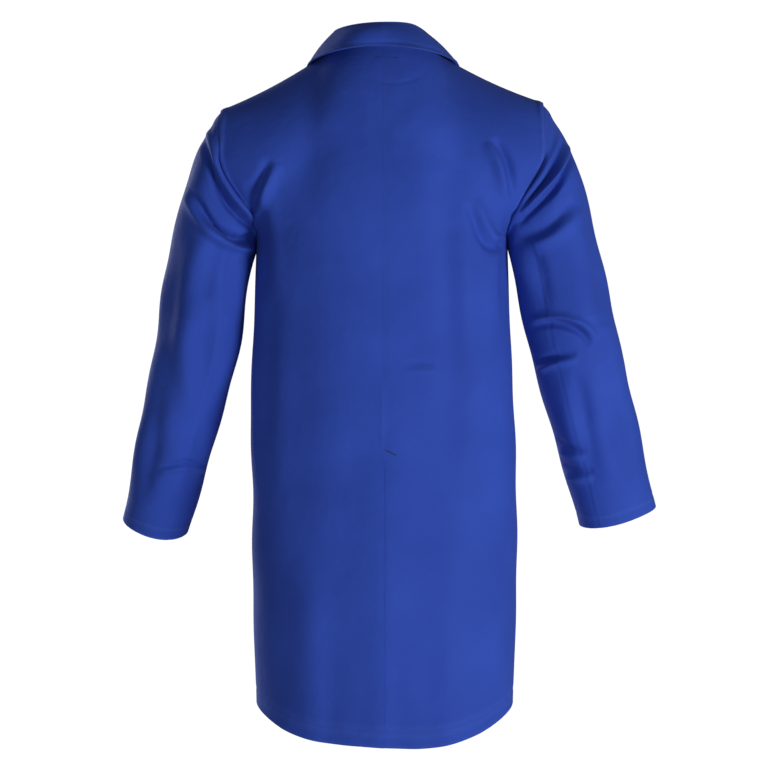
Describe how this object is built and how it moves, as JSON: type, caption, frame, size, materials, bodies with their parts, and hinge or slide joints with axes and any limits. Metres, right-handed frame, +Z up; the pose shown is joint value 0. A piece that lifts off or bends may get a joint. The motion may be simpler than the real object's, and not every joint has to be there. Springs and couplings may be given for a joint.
{
  "type": "lab coat",
  "caption": "Blue laboratory coat in its worn shape: set-in sleeves, notched collar, press-stud front, patch pockets and a centre-back vent.",
  "frame": {"origin": "top of the hang loop's tape at the inside back neck, where a hook carries the coat", "axes": "+Z up, -Y to the wearer's front, +X to the wearer's left"},
  "size_m": [0.8025, 0.2961, 1.032],
  "materials": {
    "coat_cloth": "royal blue polyester-cotton twill, matt, slight sheen",
    "press_stud": "nickel-plated pressed metal",
    "label_tape": "blank woven label tape"
  },
  "bodies": {
    "coat": {"left_back_panel": "coat_cloth", "right_back_panel": "coat_cloth", "vent_underlap": "coat_cloth", "left_side_front": "coat_cloth", "right_side_front": "coat_cloth", "left_front_upper": "coat_cloth", "right_front_upper": "coat_cloth", "left_lapel": "coat_cloth", "right_lapel": "coat_cloth", "top_collar": "coat_cloth", "under_collar": "coat_cloth", "collar_stand": "coat_cloth", "back_neck_facing": "coat_cloth", "size_label": "label_tape", "hang_loop": "coat_cloth", "chest_pocket": "coat_cloth", "chest_pocket_hem": "coat_cloth", "left_hip_pocket": "coat_cloth", "left_hip_pocket_hem": "coat_cloth", "right_hip_pocket": "coat_cloth", "right_hip_pocket_hem": "coat_cloth", "left_sleeve_head": "coat_cloth", "right_sleeve_head": "coat_cloth"},
    "left_front": {"left_front_edge": "coat_cloth", "left_front_facing": "coat_cloth", "snap_cap_1": "press_stud", "snap_cap_2": "press_stud", "snap_cap_3": "press_stud", "snap_cap_4": "press_stud", "snap_cap_5": "press_stud", "snap_socket_1": "press_stud", "snap_socket_2": "press_stud", "snap_socket_3": "press_stud", "snap_socket_4": "press_stud", "snap_socket_5": "press_stud"},
    "right_front": {"right_front_edge": "coat_cloth", "right_front_facing": "coat_cloth", "snap_stud_1": "press_stud", "snap_stud_2": "press_stud", "snap_stud_3": "press_stud", "snap_stud_4": "press_stud", "snap_stud_5": "press_stud", "snap_ring_1": "press_stud", "snap_ring_2": "press_stud", "snap_ring_3": "press_stud", "snap_ring_4": "press_stud", "snap_ring_5": "press_stud"},
    "vent": {"vent_flap": "coat_cloth"},
    "left_sleeve": {"left_upper_sleeve_top": "coat_cloth", "left_upper_sleeve_under": "coat_cloth", "left_sleeve_bend": "coat_cloth"},
    "left_forearm": {"left_fore_sleeve_top": "coat_cloth", "left_fore_sleeve_under": "coat_cloth", "left_cuff_hem": "coat_cloth"},
    "right_sleeve": {"right_upper_sleeve_top": "coat_cloth", "right_upper_sleeve_under": "coat_cloth", "right_sleeve_bend": "coat_cloth"},
    "right_forearm": {"right_fore_sleeve_top": "coat_cloth", "right_fore_sleeve_under": "coat_cloth", "right_cuff_hem": "coat_cloth"}
  },
  "joints": [
    {"name": "left_front_opens", "type": "hinge", "parent": "coat", "child": "left_front", "pos_m": [0.088, -0.185, -0.614], "axis": [0, 0, 1], "range_deg": [0, 120]},
    {"name": "right_front_opens", "type": "hinge", "parent": "coat", "child": "right_front", "pos_m": [-0.088, -0.185, -0.614], "axis": [0, 0, 1], "range_deg": [-72, 0]},
    {"name": "vent_opens", "type": "hinge", "parent": "coat", "child": "vent", "pos_m": [0, 0.0885, -0.584], "axis": [0.2623, -0.0129, -0.9649], "range_deg": [0, 55]},
    {"name": "left_sleeve_lifts", "type": "hinge", "parent": "coat", "child": "left_sleeve", "pos_m": [0.228, -0.043, -0.144], "axis": [0, -1, 0], "range_deg": [0, 45], "deforming": ["left_sleeve_head"]},
    {"name": "left_sleeve_bends", "type": "hinge", "parent": "left_sleeve", "child": "left_forearm", "pos_m": [0.271, -0.049, -0.426], "axis": [-1, 0, 0], "range_deg": [0, 45], "deforming": ["left_sleeve_bend"]},
    {"name": "right_sleeve_lifts", "type": "hinge", "parent": "coat", "child": "right_sleeve", "pos_m": [-0.228, -0.043, -0.144], "axis": [0, 1, 0], "range_deg": [0, 45], "deforming": ["right_sleeve_head"]},
    {"name": "right_sleeve_bends", "type": "hinge", "parent": "right_sleeve", "child": "right_forearm", "pos_m": [-0.284, -0.049, -0.426], "axis": [-1, 0, 0], "range_deg": [0, 45], "deforming": ["right_sleeve_bend"]}
  ],
  "couplings": [
    {"joint": "right_front_opens", "follows": "left_front_opens", "ratio": -0.6}
  ]
}
